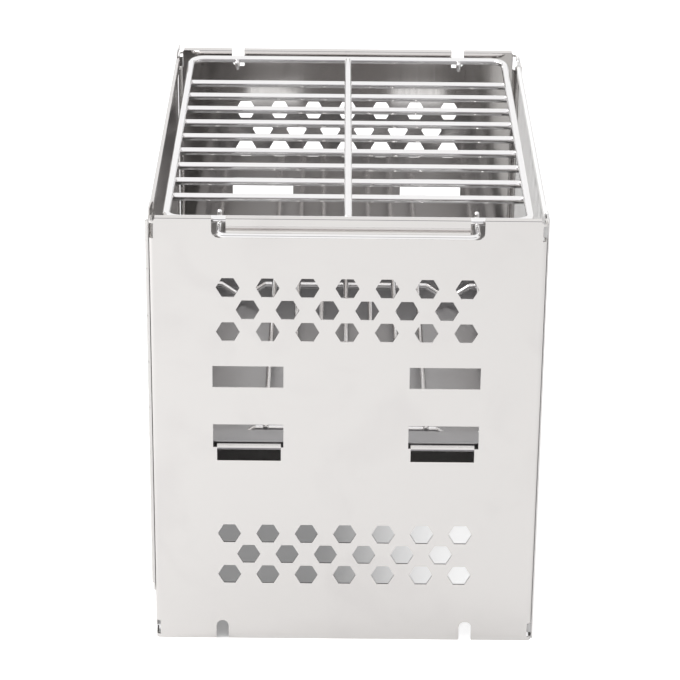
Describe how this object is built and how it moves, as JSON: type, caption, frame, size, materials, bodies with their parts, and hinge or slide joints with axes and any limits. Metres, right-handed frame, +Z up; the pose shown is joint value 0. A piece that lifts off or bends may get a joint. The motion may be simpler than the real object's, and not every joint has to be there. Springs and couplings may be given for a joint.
{
  "type": "portable charcoal grill",
  "caption": "Folding stainless charcoal grill: four hinged panels form a box that holds a wire cooking grid, a charcoal tray and a grate.",
  "frame": {"origin": "on the ground under the middle of the box", "axes": "+X to the grill's right, +Y from the front panel to the rear panel, +Z up"},
  "size_m": [0.2032, 0.2844, 0.2415],
  "materials": {
    "sheet": "satin mirror stainless sheet",
    "hinge": "satin stainless",
    "wire": "bright polished stainless wire",
    "tray": "satin stainless"
  },
  "bodies": {
    "base": {"front_panel": "sheet", "rear_panel": "sheet", "front_hinge_leaf": "hinge", "front_hinge_pin": "hinge", "rear_hinge_leaf": "hinge", "rear_hinge_pin": "hinge"},
    "left_side": {"left_side_panel": "sheet", "left_hinge_leaf": "hinge"},
    "right_side": {"right_side_panel": "sheet", "right_hinge_leaf": "hinge"},
    "front_handle": {"front_wire_handle": "wire"},
    "rear_handle": {"rear_wire_handle": "wire"},
    "cooking_grid": {"grid_frame": "wire", "grid_centre_wire": "wire", "grid_cross_wire_1": "wire", "grid_cross_wire_2": "wire", "grid_cross_wire_3": "wire", "grid_cross_wire_4": "wire", "grid_cross_wire_5": "wire", "grid_cross_wire_6": "wire", "grid_cross_wire_7": "wire", "grid_cross_wire_8": "wire", "grid_cross_wire_9": "wire"},
    "tray": {"charcoal_tray": "tray"},
    "grate": {"grate_front_wire": "wire", "grate_rear_wire": "wire", "grate_bar_1": "wire", "grate_bar_2": "wire", "grate_bar_3": "wire", "grate_bar_4": "wire", "grate_bar_5": "wire", "grate_bar_6": "wire", "grate_bar_7": "wire", "grate_bar_8": "wire", "grate_bar_9": "wire"}
  },
  "joints": [
    {"name": "left_side_swing", "type": "hinge", "parent": "base", "child": "left_side", "pos_m": [-0.0996, -0.1252, 0], "axis": [0, 0, 1], "range_deg": [0, 150]},
    {"name": "right_side_swing", "type": "hinge", "parent": "base", "child": "right_side", "pos_m": [0.0996, 0.1252, 0], "axis": [0, 0, 1], "range_deg": [0, 150]},
    {"name": "front_handle_lift", "type": "hinge", "parent": "base", "child": "front_handle", "pos_m": [0, -0.1361, 0.23095], "axis": [-1, 0, 0], "range_deg": [0, 55]},
    {"name": "rear_handle_lift", "type": "hinge", "parent": "base", "child": "rear_handle", "pos_m": [0, 0.1361, 0.23095], "axis": [1, 0, 0], "range_deg": [0, 55]},
    {"name": "cooking_grid_lift", "type": "slide", "parent": "base", "child": "cooking_grid", "axis": [0, 0, 1], "range_m": [0, 0.12]},
    {"name": "tray_lift", "type": "slide", "parent": "base", "child": "tray", "axis": [0, 0, 1], "range_m": [0, 0.09]},
    {"name": "grate_lift", "type": "slide", "parent": "tray", "child": "grate", "axis": [0, 0, 1], "range_m": [0, 0.1]}
  ]
}
